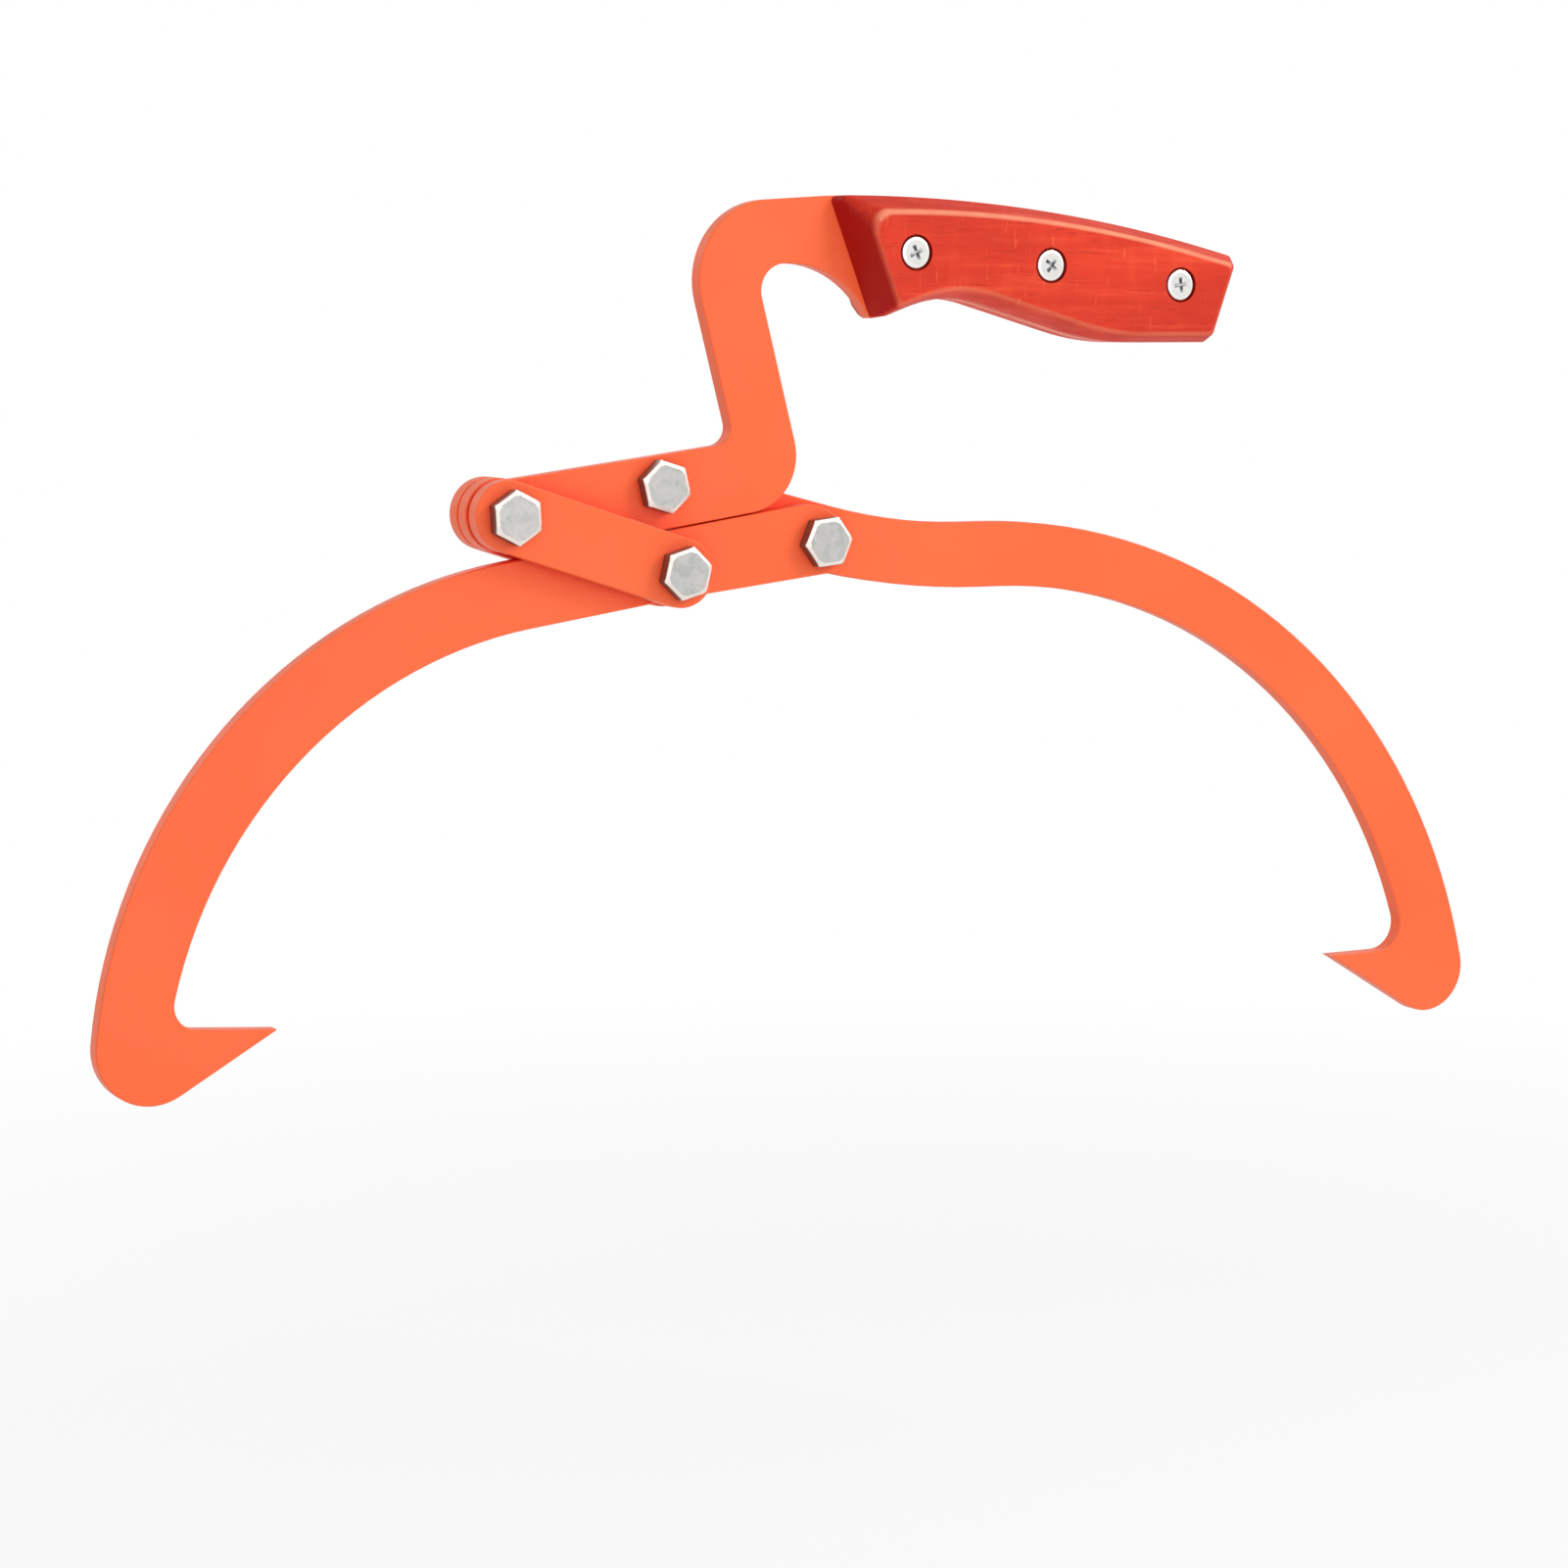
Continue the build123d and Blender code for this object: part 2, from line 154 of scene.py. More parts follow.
# powder coat: even orange with a fine orange-peel skin, painted darker on the cut rims as shade, and a
# painted redder shade in the corners and where the parts meet
powderCoat = {
    "colour": (0.985, 0.146, 0.038),
    "deepColour": (0.955, 0.126, 0.030),
    "cloudNoise": (14.0, 3.0),
    "cloudBand": [(0.32, 0.0), (0.70, 1.0)],
    # painted shade: the cut rims darker than the faces
    "rimShadeAndHighlightColour": (0.760, 0.105, 0.020),
    "edgeColour": (0.940, 0.134, 0.038),
    "rubNoise": (55.0, 4.0, 0.6),
    "rubBand": [(0.30, 0.45), (0.65, 1.0)],
    "bareColour": (0.300, 0.240, 0.215),  # a few chips along the edges
    "speckNoise": (420.0, 3.0, 0.7),
    "speckBand": [(0.685, 0.0), (0.72, 1.0)],
    "patchNoise": (24.0, 2.0),
    "patchBand": [(0.56, 0.0), (0.66, 1.0)],
    # painted shade: a redder orange where another surface is near, in corners and between the parts
    "creaseShadeColour": (0.950, 0.056, 0.014),
    "creaseShadeReach": 14.0 * mm,
    "creaseShadeBand": [(0.25, 0.9), (0.90, 0.0)],
    "glossNoise": (38.0, 4.0),
    "glossBand": [(0.25, 0.36), (0.75, 0.50)],
    "peelNoise": (900.0, 1.5, 0.45),
    "peelStrength": 0.22,
    "peelHeight": 0.09 * mm,
    "specular": 0.36,
    "coat": 0.06,
    "coatRoughness": 0.22,
}


def makePowderCoat(look):
    material, tree, shader = startMaterial("orangePowderCoat")
    place = objectPlace(tree)
    base = mixColour(tree, mottle(tree, place, look, "cloud"), look["deepColour"], look["colour"])
    rub = mottle(tree, place, look, "rub")
    edge = paintedValue(tree, "edge")
    base = mixColour(tree, times(tree, edge, rub), base, look["edgeColour"])
    # painted shade: the cut rims darker than the faces
    cutRim = paintedValue(tree, "cutRim")
    base = mixColour(tree, times(tree, cutRim, rub), base, look["rimShadeAndHighlightColour"])
    specks = times(tree, mottle(tree, place, look, "speck"), mottle(tree, place, look, "patch"))
    base = mixColour(tree, times(tree, specks, edge), base, look["bareColour"])
    # painted shade: redder in the corners and where the parts meet
    creaseShade = rampNode(tree, openness(tree, look["creaseShadeReach"]), look["creaseShadeBand"])
    base = mixColour(tree, creaseShade, base, look["creaseShadeColour"])
    peel = noiseNode(tree, place, *look["peelNoise"])
    feed(tree, shader, {
        "Base Color": base,
        "Roughness": mottle(tree, place, look, "gloss"),
        "Normal": bumpNode(tree, peel, look["peelStrength"], look["peelHeight"]),
        "Specular IOR Level": look["specular"],
        "Coat Weight": look["coat"],
        "Coat Roughness": look["coatRoughness"],
    })
    return material


# stained hardwood: streaks along the grip, dark pores, end grain darker, partly from drinking more stain and
# partly as painted shade, and a pale rounding, partly rubbed and partly a painted highlight
gripWood = {
    "colour": (0.800, 0.054, 0.021),
    "darkColour": (0.570, 0.029, 0.012),
    "lightColour": (0.890, 0.100, 0.040),
    "poreColour": (0.380, 0.014, 0.005),
    "fleckColour": (0.900, 0.150, 0.060),
    # end grain: darker stain with painted shade
    "endColour": (0.360, 0.003, 0.001),
    "endShare": 0.88,
    # pale rounding: rubbed stain with a painted highlight
    "edgeColour": (0.940, 0.330, 0.185),
    "rubNoise": (70.0, 3.0),
    "rubBand": [(0.30, 0.65), (0.70, 1.0)],
    "grainTurn": math.radians(7.0),
    "figure": {"stretch": (9, 60, 60), "noise": (1.0, 4.0, 0.55, 0.6)},
    "figureBand": [(0.30, 0.0), (0.72, 1.0)],
    "streak": {"stretch": (26, 420, 420), "noise": (1.0, 5.0, 0.62, 0.25)},
    "streakLight": [(0.52, 0.0), (0.80, 0.75)],
    "streakDark": [(0.24, 0.45), (0.44, 0.0)],
    "pore": {"stretch": (120, 2400, 2400), "noise": (1.0, 2.0, 0.5)},
    "poreBand": [(0.28, 0.45), (0.38, 0.0)],
    "flame": {"stretch": (150, 60, 42), "noise": (1.0, 3.0, 0.5, 0.4)},
    "flameDark": [(0.30, 0.28), (0.55, 0.0)],
    "flameLight": [(0.58, 0.0), (0.85, 0.35)],
    "fleck": {"stretch": (1100, 200, 130), "noise": (1.0, 2.0, 0.5, 0.2)},
    "fleckBand": [(0.66, 0.0), (0.76, 0.55)],
    "glossBand": [(0.25, 0.60), (0.75, 0.44)],
    "streakHeight": 0.5,
    "grainStrength": 0.35,
    "grainHeight": 0.12 * mm,
    "specular": 0.15,
}


def makeGripWood(look):
    material, tree, shader = startMaterial("stainedGripWood")

    def grain(name):
        # noise drawn out along or across the slant of the grip
        place = objectPlace(tree, look[name]["stretch"], (0, look["grainTurn"], 0))
        return noiseNode(tree, place, *look[name]["noise"])

    def stained(base, layer, band, colour):
        return mixColour(tree, rampNode(tree, layer, look[band]), base, look[colour])

    base = stained(look["darkColour"], grain("figure"), "figureBand", "colour")
    streak = grain("streak")
    base = stained(base, streak, "streakLight", "lightColour")
    base = stained(base, streak, "streakDark", "darkColour")
    pores = rampNode(tree, grain("pore"), look["poreBand"])
    base = mixColour(tree, pores, base, look["poreColour"])
    flame = grain("flame")
    base = stained(base, flame, "flameDark", "darkColour")
    base = stained(base, flame, "flameLight", "lightColour")
    base = stained(base, grain("fleck"), "fleckBand", "fleckColour")
    # end grain darker: partly stain, partly painted shade
    endGrainAndShade = times(tree, paintedValue(tree, "endGrainAndShade"), look["endShare"])
    base = mixColour(tree, endGrainAndShade, base, look["endColour"])
    rub = mottle(tree, objectPlace(tree), look, "rub")
    # the rounding pale: rubbed wear with a painted highlight, stronger on top
    base = mixColour(tree, times(tree, paintedValue(tree, "edge"), rub), base, look["edgeColour"])
    height = mathNode(tree, "SUBTRACT", times(tree, streak, look["streakHeight"]), pores)
    feed(tree, shader, {
        "Base Color": base,
        "Roughness": rampNode(tree, streak, look["glossBand"]),
        "Normal": bumpNode(tree, height, look["grainStrength"], look["grainHeight"]),
        "Specular IOR Level": look["specular"],
    })
    return material


# plated steel: soft cloudy zinc on the bolts, brighter nickel on the grip screws, with a painted highlight
# on the chamfers and painted shade on the flanks and in the recesses
platingGrain = {
    "cloudNoise": (260.0, 4.0, 0.6),
    "cloudBand": [(0.32, 0.0), (0.68, 1.0)],
    "filmNoise": (420.0, 3.0, 0.55, 0.8),
    "filmBand": [(0.40, 0.0), (0.62, 0.6)],
    "rimHighlightBand": [(0.25, 0.7), (0.60, 1.0)],
    "flankShadeShare": 0.9,
    # painted shade in the recesses and where the parts meet
    "recessShadeReach": 1.2 * mm,
    "recessShadeBand": [(0.45, 0.8), (0.90, 0.0)],
    "scratchStretch": (5200, 5200, 900),
    "scratchNoise": (1.0, 2.0),
    "scratchHeight": 0.03 * mm,
}
zincPlate = {
    **platingGrain,
    "name": "zincPlate",
    "colour": (0.51, 0.50, 0.49),
    "dullColour": (0.37, 0.385, 0.365),
    "filmColour": (0.58, 0.55, 0.53),
    # painted highlight: the chamfer rim pale
    "rimShadeAndHighlightColour": (0.96, 0.86, 0.80),
    # painted shade: the flanks dark
    "flankShadeColour": (0.25, 0.24, 0.23),
    # painted shade in the recesses
    "recessShadeColour": (0.16, 0.14, 0.12),
    "glossBand": [(0.30, 0.46), (0.72, 0.30)],
    "scratchStrength": 0.10,
}
nickelPlate = {
    **platingGrain,
    "name": "nickelPlate",
    "colour": (0.78, 0.77, 0.74),
    "dullColour": (0.66, 0.65, 0.62),
    "filmColour": (0.80, 0.79, 0.75),
    # painted highlight: the shoulder of the domed head pale
    "rimShadeAndHighlightColour": (0.86, 0.85, 0.82),
    # painted shade: the flanks and recess walls dark
    "flankShadeColour": (0.58, 0.58, 0.58),
    # painted shade in the cross and slot recesses
    "recessShadeColour": (0.46, 0.48, 0.51),
    "glossBand": [(0.30, 0.32), (0.72, 0.20)],
    "scratchStrength": 0.06,
}


def makePlating(look):
    material, tree, shader = startMaterial(look["name"])
    place = objectPlace(tree)
    cloud = noiseNode(tree, place, *look["cloudNoise"])
    base = mixColour(tree, rampNode(tree, cloud, look["cloudBand"]), look["dullColour"], look["colour"])
    base = mixColour(tree, mottle(tree, place, look, "film"), base, look["filmColour"])
    # painted highlight: the chamfer faces pale
    rim = times(tree, paintedValue(tree, "highlightRim"), rampNode(tree, cloud, look["rimHighlightBand"]))
    base = mixColour(tree, rim, base, look["rimShadeAndHighlightColour"])
    # painted shade: the steep flanks and recess walls darker
    flankShade = times(tree, paintedValue(tree, "flankShade"), look["flankShadeShare"])
    base = mixColour(tree, flankShade, base, look["flankShadeColour"])
    # painted shade: darker in the recesses and where another surface is near
    recessShade = rampNode(tree, openness(tree, look["recessShadeReach"]), look["recessShadeBand"])
    base = mixColour(tree, recessShade, base, look["recessShadeColour"])
    scratches = noiseNode(tree, objectPlace(tree, look["scratchStretch"]), *look["scratchNoise"])
    feed(tree, shader, {
        "Base Color": base,
        "Metallic": 1.0,
        "Roughness": rampNode(tree, cloud, look["glossBand"]),
        "Normal": bumpNode(tree, scratches, look["scratchStrength"], look["scratchHeight"]),
    })
    return material


# nylon: off-white rings, faintly cloudy and a little soft to the light
nylonRing = {
    "colour": (0.82, 0.82, 0.77),
    "shade": (0.70, 0.70, 0.64),
    "cloudNoise": (600.0, 3.0),
    "cloudBand": [(0.35, 0.0), (0.65, 1.0)],
    "glossBand": [(0.30, 0.42), (0.70, 0.58)],
    "grainStrength": 0.15,
    "grainHeight": 0.04 * mm,
    "subsurface": 0.08,
    "subsurfaceReach": 1.0 * mm,
}


def makeNylon(look):
    material, tree, shader = startMaterial("nylonRing")
    cloud = noiseNode(tree, objectPlace(tree), *look["cloudNoise"])
    base = mixColour(tree, rampNode(tree, cloud, look["cloudBand"]), look["shade"], look["colour"])
    feed(tree, shader, {
        "Base Color": base,
        "Roughness": rampNode(tree, cloud, look["glossBand"]),
        "Normal": bumpNode(tree, cloud, look["grainStrength"], look["grainHeight"]),
        "Subsurface Weight": look["subsurface"],
        "Subsurface Radius": [look["subsurfaceReach"]] * 3,
    })
    return material


paint = makePowderCoat(powderCoat)
wood = makeGripWood(gripWood)
zinc = makePlating(zincPlate)
nickel = makePlating(nickelPlate)
nylon = makeNylon(nylonRing)
print("materials made")


# mesh helpers
cadMesh = {"weld": 0.005 * mm, "flatAngle": 0.2, "smoothAngle": 50}


def axisOf(node):
    low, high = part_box(node)
    return (low + high) / 2


def fromAxis(point, axis):
    # every bolt and screw lies along y
    return math.hypot(point.x - axis.x, point.z - axis.z)


def share(value, start, full):
    # 0 up to the start, 1 from full on
    return min(max((value - start) / (full - start), 0.0), 1.0)


def addObject(name, data):
    piece = bpy.data.objects.new(name, data)
    scene.collection.objects.link(piece)
    return piece


def bakeModifiers(piece):
    # the evaluated shape becomes the plain mesh
    graph = bpy.context.evaluated_depsgraph_get()
    mesh = bpy.data.meshes.new_from_object(piece.evaluated_get(graph))
    piece.modifiers.clear()
    piece.data = mesh
    return mesh


def softEdges(piece, width, segments, angle=None):
    # edges sharper than the angle, or without one the edges that carry a weight
    bevel = piece.modifiers.new("softEdges", "BEVEL")
    bevel.width = width
    bevel.segments = segments
    if angle is None:
        bevel.limit_method = "WEIGHT"
    else:
        bevel.limit_method = "ANGLE"
        bevel.angle_limit = math.radians(angle)


def evenShade(piece, angle):
    # smooth across small turns, with the large faces kept flat
    piece.data.shade_smooth()
    piece.data.set_sharp_from_angle(angle=math.radians(angle))
    even = piece.modifiers.new("evenShade", "WEIGHTED_NORMAL")
    even.keep_sharp = True
    return bakeModifiers(piece)


def paintValues(mesh, name, domain, values):
    layer = mesh.attributes.new(name, "FLOAT", domain)
    layer.data.foreach_set("value", values)


def weldedCopy(node, name):
    work = bmesh.new()
    work.from_mesh(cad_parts[node].data)
    bmesh.ops.remove_doubles(work, verts=work.verts, dist=cadMesh["weld"])
    flat = math.radians(cadMesh["flatAngle"])
    bmesh.ops.dissolve_limit(work, angle_limit=flat, verts=work.verts, edges=work.edges)
    mesh = bpy.data.meshes.new(name)
    work.to_mesh(mesh)
    work.free()
    return addObject(name, mesh)


# painted plates: the CAD outlines with their edges eased, the chamfers marked for wear and the cut rims
# marked for painted shade
plates = {
    "handle_plate": {"piece": "handlePlate", "body": "handle"},
    "left_jaw": {"piece": "leftHookJaw", "body": "left_jaw"},
    "right_jaw": {"piece": "rightHookJaw", "body": "right_jaw"},
    "front_link": {"piece": "frontLink", "body": "links"},
    "rear_link": {"piece": "rearLink", "body": "links"},
}
plateEdge = {"width": 0.10 * mm, "segments": 2, "angle": 25, "rimSlope": 0.12, "faceSlope": 0.985}


def makePlate(node, spec):
    piece = weldedCopy(node, spec["piece"])
    softEdges(piece, plateEdge["width"], plateEdge["segments"], plateEdge["angle"])
    bakeModifiers(piece)
    mesh = evenShade(piece, cadMesh["smoothAngle"])
    slopes = [abs(face.normal.y) for face in mesh.polygons]
    rim, front = plateEdge["rimSlope"], plateEdge["faceSlope"]
    paintValues(mesh, "edge", "FACE", [float(rim < slope < front) for slope in slopes])
    # the cut rims, which take the painted shade
    paintValues(mesh, "cutRim", "FACE", [float(slope <= rim) for slope in slopes])
    mesh.materials.append(paint)
    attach(piece, spec["body"])
    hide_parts(node)


for node, spec in plates.items():
    makePlate(node, spec)
print("plates dressed:", len(plates))


# wooden grip halves: the rounding round the outer face is pale, partly rubbed wear and partly a painted
# highlight, most along the top
gripHalves = {
    "front_grip_scale": {"piece": "frontGripHalf", "outward": -1.0},
    "rear_grip_scale": {"piece": "rearGripHalf", "outward": 1.0},
}
gripEdge = {
    "width": 0.35 * mm,
    "segments": 3,
    "angle": 16,
    "rounding": 1.35 * mm,
    "holeReach": 6.0 * mm,
    "wearAndHighlightStart": 0.1 * mm,
    "wearAndHighlightShare": 0.8,  # of the rounding
    "topSlope": 0.15,
    "wearAndHighlightTop": 0.95,
    "wearAndHighlightBelow": 0.36,
    "wearAndHighlightEnds": 0.08,
    "wearAndHighlightTurn": (0.10, 0.55),
    "endTurn": (0.25, 0.75),
}
gripNumbers = (1, 2, 3)
gripAxes = [axisOf(f"grip_screw_{number}") for number in gripNumbers]


def nearScrew(point):
    return any(fromAxis(point, axis) < gripEdge["holeReach"] for axis in gripAxes)


def markSharpEdges(piece, outerY):
    # the rounding of the outer face stays as it is, every other corner is eased
    work = bmesh.new()
    work.from_mesh(piece.data)
    weight = work.edges.layers.float.new("bevel_weight_edge")
    for edge in work.edges:
        if len(edge.link_faces) != 2 or edge.calc_face_angle() < math.radians(gripEdge["angle"]):
            continue
        inRounding = all(abs(vert.co.y - outerY) < gripEdge["rounding"] for vert in edge.verts)
        if not inRounding or nearScrew(edge.verts[0].co):
            edge[weight] = 1.0
    work.to_mesh(piece.data)
    work.free()


def wornAndHighlitPoints(mesh, outerY):
    # pale in the middle of the rounding, fading out at its borders: rubbed wear with a painted highlight,
    # stronger on top than below
    values = []
    for vert in mesh.vertices:
        depth = abs(vert.co.y - outerY)
        inside = gripEdge["wearAndHighlightStart"] < depth < gripEdge["wearAndHighlightShare"] * gripEdge["rounding"]
        level = gripEdge["wearAndHighlightTop"] if vert.normal.z > gripEdge["topSlope"] else gripEdge["wearAndHighlightBelow"]
        level += (gripEdge["wearAndHighlightEnds"] - level) * share(abs(vert.normal.x), *gripEdge["wearAndHighlightTurn"])
        values.append(level if inside and not nearScrew(vert.co) else 0.0)
    return values


def endShares(mesh):
    # 1 on the faces across the grain, less where a corner turns away from it; these take the darker end
    # grain and its painted shade
    return [share(abs(face.normal.x), *gripEdge["endTurn"]) for face in mesh.polygons]


def makeGripHalf(node, spec):
    piece = weldedCopy(node, spec["piece"])
    low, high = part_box(node)
    outerY = low.y if spec["outward"] < 0 else high.y
    markSharpEdges(piece, outerY)
    softEdges(piece, gripEdge["width"], gripEdge["segments"])
    bakeModifiers(piece)
    mesh = evenShade(piece, cadMesh["smoothAngle"])
    paintValues(mesh, "edge", "POINT", wornAndHighlitPoints(mesh, outerY))
    paintValues(mesh, "endGrainAndShade", "FACE", endShares(mesh))
    mesh.materials.append(wood)
    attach(piece, "handle")
    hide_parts(node)


for node, spec in gripHalves.items():
    makeGripHalf(node, spec)
print("grip halves dressed")


# geometry node helpers: a shape has its seat at z = 0 and its axis along z until it is set on its points
# by their slope: the chamfers take the painted highlight, the flanks and recess walls take the painted shade
grownMesh = {"weld": 0.004 * mm, "highlightRim": (0.80, 0.95), "flankShade": 0.30}  # bright and flank by their slope
hexSides = 6
cornerShare = math.sqrt(3.0)  # a hexagon's width across flats over its corner radius
chamferSlope = math.sqrt(3.0)  # a cone that falls at 30 degrees


def startTree(name, sizes):
    tree = bpy.data.node_groups.new(name, "GeometryNodeTree")
    tree.interface.new_socket("Geometry", in_out="INPUT", socket_type="NodeSocketGeometry")
    for label, value in sizes.items():
        socket = tree.interface.new_socket(label, in_out="INPUT", socket_type="NodeSocketFloat")
        socket.default_value = value
    tree.interface.new_socket("Finish", in_out="INPUT", socket_type="NodeSocketMaterial")
    tree.interface.new_socket("Geometry", in_out="OUTPUT", socket_type="NodeSocketGeometry")
    return tree, tree.nodes.new("NodeGroupInput"), tree.nodes.new("NodeGroupOutput")


def vectorOf(tree, x=0.0, y=0.0, z=0.0):
    return addNode(tree, "ShaderNodeCombineXYZ", {"X": x, "Y": y, "Z": z}).outputs["Vector"]


def half(tree, value):
    return times(tree, value, 0.5)


def hexRadius(tree, acrossFlats):
    return mathNode(tree, "DIVIDE", acrossFlats, cornerShare)


def moved(tree, shape, shift=None, turn=None, stretch=None):
    inputs = {"Geometry": shape}
    for key, value in (("Translation", shift), ("Rotation", turn), ("Scale", stretch)):
        if value is not None:
            inputs[key] = value
    return addNode(tree, "GeometryNodeTransform", inputs).outputs["Geometry"]


def rod(tree, radius, depth, middle, sides=64):
    inputs = {"Vertices": sides, "Radius": radius, "Depth": depth}
    shape = addNode(tree, "GeometryNodeMeshCylinder", inputs)
    return moved(tree, shape.outputs["Mesh"], vectorOf(tree, z=middle))


def cone(tree, topRadius, bottomRadius, depth, foot=0.0, sides=96):
    # stands on its foot, unlike a rod, which is placed by its middle
    inputs = {"Vertices": sides, "Radius Top": topRadius, "Radius Bottom": bottomRadius, "Depth": depth}
    shape = addNode(tree, "GeometryNodeMeshCone", inputs)
    return moved(tree, shape.outputs["Mesh"], vectorOf(tree, z=foot))


def boolean(tree, operation, *shapes):
    node = addNode(tree, "GeometryNodeMeshBoolean", operation=operation, solver="EXACT")
    if operation == "DIFFERENCE":
        tree.links.new(shapes[0], node.inputs["Mesh 1"])
        shapes = shapes[1:]
    for shape in shapes:
        tree.links.new(shape, node.inputs["Mesh 2"])
    return node.outputs["Mesh"]


def joined(tree, *shapes):
    node = addNode(tree, "GeometryNodeJoinGeometry")
    for shape in shapes:
        tree.links.new(shape, node.inputs["Geometry"])
    return node.outputs["Geometry"]


def endTree(tree, entry, leave, shape, facing=1.0):
    # one copy stands on each point, its own axis along -y or +y, turned by the point's value
    turn = addNode(tree, "GeometryNodeInputNamedAttribute", {"Name": "turn"}, data_type="FLOAT")
    spin = vectorOf(tree, facing * math.pi / 2, times(tree, turn.outputs["Attribute"], -facing))
    inputs = {"Points": entry.outputs["Geometry"], "Instance": shape, "Rotation": spin}
    copies = addNode(tree, "GeometryNodeInstanceOnPoints", inputs)
    solid = addNode(tree, "GeometryNodeRealizeInstances", {"Geometry": copies.outputs["Instances"]})
    inputs = {"Geometry": solid.outputs["Geometry"], "Material": entry.outputs["Finish"]}
    finish = addNode(tree, "GeometryNodeSetMaterial", inputs)
    tree.links.new(finish.outputs["Geometry"], leave.inputs[0])


def standOn(node, y, turn):
    # a point on the node's axis, and the turn of what stands there
    axis = axisOf(node)
    return (axis.x, y, axis.z), math.radians(turn)


def growOnPoints(name, tree, points, sizes, finish, smoothAngle, easing=None):
    mesh = bpy.data.meshes.new(name)
    mesh.from_pydata([place for place, turn in points], [], [])
    paintValues(mesh, "turn", "POINT", [turn for place, turn in points])
    piece = addObject(name, mesh)
    grow = piece.modifiers.new("grow", "NODES")
    grow.node_group = tree
    for item in tree.interface.items_tree:
        if item.in_out == "INPUT" and item.name in sizes:
            grow[item.identifier] = sizes[item.name]
        if item.in_out == "INPUT" and item.name == "Finish":
            grow[item.identifier] = finish
    if easing:
        softEdges(piece, *easing)
    mesh = bakeModifiers(piece)
    work = bmesh.new()
    work.from_mesh(mesh)
    bmesh.ops.remove_doubles(work, verts=work.verts, dist=grownMesh["weld"])
    work.to_mesh(mesh)
    work.free()
    mesh = evenShade(piece, smoothAngle)
    slopes = [abs(face.normal.y) for face in mesh.polygons]
    low, high = grownMesh["highlightRim"]
    paintValues(mesh, "highlightRim", "FACE", [float(low < slope < high) for slope in slopes])
    paintValues(mesh, "flankShade", "FACE", [float(slope < grownMesh["flankShade"]) for slope in slopes])
    return piece


# the four pivots, and how far the hexagons there are turned
pivots = {
    "link_handle": {"body": "handle", "turn": 33.0},
    "handle_jaw": {"body": "handle", "turn": 43.0},
    "link_jaw": {"body": "left_jaw", "turn": 16.0},
    "jaw_jaw": {"body": "right_jaw", "turn": 6.0},
}


def pieceName(pivot, kind):
    first, second = pivot.split("_")
    return first + second.capitalize() + kind


# hexagon bolts: head bevelled along its flats and corners, plain shank, a few turns of thread at the end
boltSizes = {
    "Across Flats": 13.0 * mm,
    "Head Height": 4.2 * mm,
    "Chamfer Circle": 11.9 * mm,
    "Face Across Flats": 11.1 * mm,
    "Shank Radius": 4.0 * mm,
    "Shank Length": 25.0 * mm,
    "Thread Pitch": 1.25 * mm,
}
boltShape = {
    "bevelSlope": 2.0,
    "sides": 48,
    "pointDepth": 0.8,  # in pitches, as the thread's sizes are
    "threadTurns": 5.0,
    "threadSteps": 40,
    "threadSink": 0.28,
    "threadLift": 1.1,
    "ridgeSize": 0.42,
    "ridgeSides": 4,
    "smoothAngle": 24,
    "easing": (0.14 * mm, 2, 45),  # width, segments and angle
}


def makeBoltHead(tree, out, look):
    height = out["Head Height"]
    prism = rod(tree, hexRadius(tree, out["Across Flats"]), height, half(tree, height), hexSides)
    chamferRadius = half(tree, out["Chamfer Circle"])
    flare = mathNode(tree, "MULTIPLY_ADD", height, chamferSlope, chamferRadius)
    turned = cone(tree, chamferRadius, flare, height)
    faceRadius = hexRadius(tree, out["Face Across Flats"])
    footRadius = mathNode(tree, "MULTIPLY_ADD", height, look["bevelSlope"], faceRadius)
    bevelled = cone(tree, faceRadius, footRadius, height, sides=hexSides)
    return boolean(tree, "INTERSECT", prism, turned, bevelled)


def makeThread(tree, out, look, foot):
    pitch = out["Thread Pitch"]
    radius = mathNode(tree, "MULTIPLY_ADD", pitch, -look["threadSink"], out["Shank Radius"])
    helix = addNode(tree, "GeometryNodeCurveSpiral", {
        "Resolution": look["threadSteps"],
        "Rotations": look["threadTurns"],
        "Height": times(tree, pitch, look["threadTurns"]),
        "Start Radius": radius,
        "End Radius": radius,
    })
    inputs = {"Resolution": look["ridgeSides"], "Radius": times(tree, pitch, look["ridgeSize"])}
    ridge = addNode(tree, "GeometryNodeCurvePrimitiveCircle", inputs)
    inputs = {"Curve": helix.outputs["Curve"], "Profile Curve": ridge.outputs["Curve"], "Fill Caps": True}
    thread = addNode(tree, "GeometryNodeCurveToMesh", inputs)
    lift = mathNode(tree, "MULTIPLY_ADD", pitch, look["threadLift"], foot)
    return moved(tree, thread.outputs["Mesh"], vectorOf(tree, z=lift))


def makeBoltTree(sizes, look):
    tree, entry, leave = startTree("hexBolt", sizes)
    out = entry.outputs
    head = makeBoltHead(tree, out, look)
    pointDepth = times(tree, out["Thread Pitch"], look["pointDepth"])
    straight = mathNode(tree, "SUBTRACT", out["Shank Length"], pointDepth)
    shank = rod(tree, out["Shank Radius"], straight, times(tree, straight, -0.5), look["sides"])
    pointRadius = mathNode(tree, "SUBTRACT", out["Shank Radius"], pointDepth)
    pointFoot = times(tree, out["Shank Length"], -1.0)
    point = cone(tree, out["Shank Radius"], pointRadius, pointDepth, pointFoot, look["sides"])
    thread = makeThread(tree, out, look, pointFoot)
    endTree(tree, entry, leave, joined(tree, head, shank, point, thread))
    return tree


